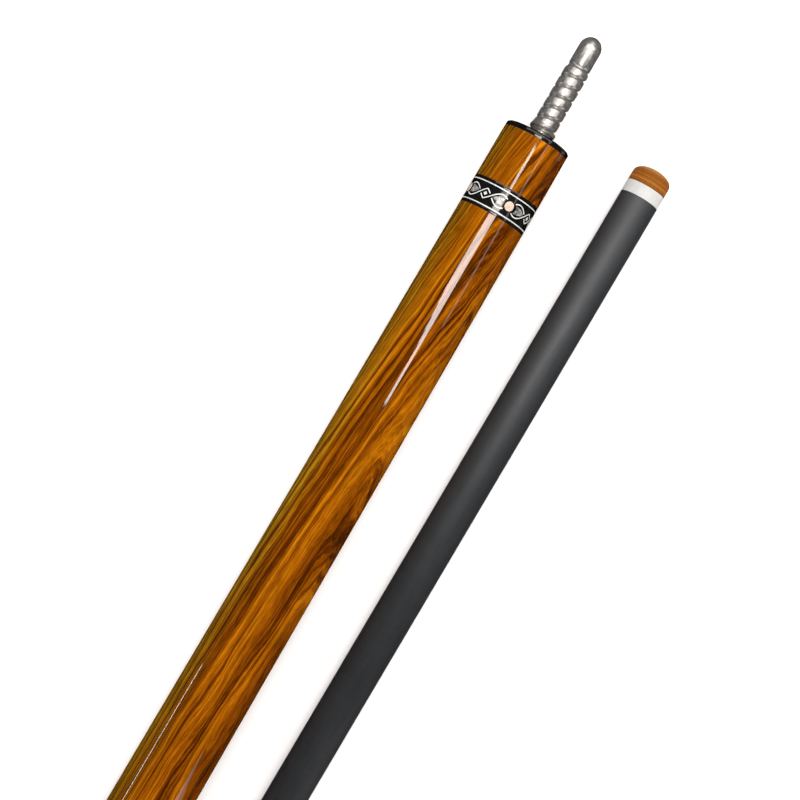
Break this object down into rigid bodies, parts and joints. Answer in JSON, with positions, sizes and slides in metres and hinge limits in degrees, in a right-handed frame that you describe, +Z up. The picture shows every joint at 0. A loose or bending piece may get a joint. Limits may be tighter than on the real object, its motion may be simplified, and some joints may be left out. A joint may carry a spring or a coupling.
{
  "type": "pool cue",
  "caption": "Two-piece pool cue, unscrewed: wood butt with ringed joint and threaded steel pin, carbon shaft with ferrule and leather tip.",
  "frame": {"origin": "on the surface that the cue lies on, at the middle of its bounding box", "axes": "+X along the cue towards the joint pin and the tip, +Z up from the surface that it lies on"},
  "size_m": [0.7714, 0.0584, 0.0312],
  "materials": {
    "figured_wood": "high-gloss clear coat over figured wood",
    "black_phenolic": "polished",
    "silver": "polished, slightly brushed",
    "pearl": "polished grey mother of pearl",
    "pink_pearl": "polished pinkish mother of pearl",
    "steel": "polished",
    "brass": "turned",
    "plain_wood": "bare, hidden",
    "linen": "pressed linen thread, wound close",
    "rubber": "moulded, matt",
    "carbon": "matt carbon fibre, sanded",
    "foam": "hidden rigid foam",
    "ferrule": "satin",
    "leather": "layered, shaped and scuffed"
  },
  "bodies": {
    "butt": {"joint_pin": "steel", "joint_collar": "black_phenolic", "joint_sleeve": "figured_wood", "ring_edge_front": "black_phenolic", "ring_hoop_front": "silver", "ring_centre": "black_phenolic", "ring_hoop_rear": "silver", "ring_edge_rear": "black_phenolic", "forearm": "figured_wood", "a_joint_screw": "steel", "handle": "plain_wood", "grip_wrap": "linen", "butt_sleeve": "figured_wood", "butt_cap": "black_phenolic", "threaded_sleeve": "brass", "front_trim_hoop_front": "silver", "front_trim_ring": "black_phenolic", "front_trim_hoop_rear": "silver", "rear_trim_hoop_front": "silver", "rear_trim_ring": "black_phenolic", "rear_trim_hoop_rear": "silver", "cap_trim_hoop_front": "silver", "cap_trim_ring": "black_phenolic", "cap_trim_hoop_rear": "silver", "pearl_dot_1": "pink_pearl", "silver_diamond_1": "silver", "pearl_dot_2": "pink_pearl", "silver_diamond_2": "silver", "pearl_dot_3": "pink_pearl", "silver_diamond_3": "silver", "pearl_dot_4": "pink_pearl", "silver_diamond_4": "silver", "pearl_lens_1": "pearl", "pearl_lens_2": "pearl", "pearl_lens_3": "pearl", "pearl_lens_4": "pearl", "pearl_lens_5": "pearl", "pearl_lens_6": "pearl", "pearl_lens_7": "pearl", "pearl_lens_8": "pearl"},
    "shaft": {"tip": "leather", "ferrule": "ferrule", "carbon_tube": "carbon", "foam_core": "foam", "insert_plug": "black_phenolic", "shaft_insert": "brass", "shaft_collar": "black_phenolic", "shaft_hoop": "silver"},
    "weight_bolt": {"weight_bolt": "steel"},
    "bumper_washer": {"bumper_washer": "steel"},
    "bumper": {"bumper": "rubber", "bumper_stud": "steel"}
  },
  "joints": [
    {"name": "shaft_draw", "type": "slide", "parent": "butt", "child": "shaft", "axis": [1, 0, 0], "range_m": [0, 0.775]},
    {"name": "bumper_out", "type": "slide", "parent": "butt", "child": "bumper_washer", "axis": [-1, 0, 0.0068], "range_m": [0, 0.01271]},
    {"name": "bumper_turn", "type": "hinge", "parent": "bumper_washer", "child": "bumper", "pos_m": [-0.37528, 0.01356, 0.01561], "axis": [-1, 0, 0.0068], "range_deg": [0, 2880]},
    {"name": "weight_bolt_travel", "type": "slide", "parent": "butt", "child": "weight_bolt", "axis": [1, 0, -0.0068], "range_m": [0, 0.01]}
  ],
  "couplings": [
    {"joint": "bumper_out", "follows": "bumper_turn", "m_per_rad": 0.00025266}
  ]
}
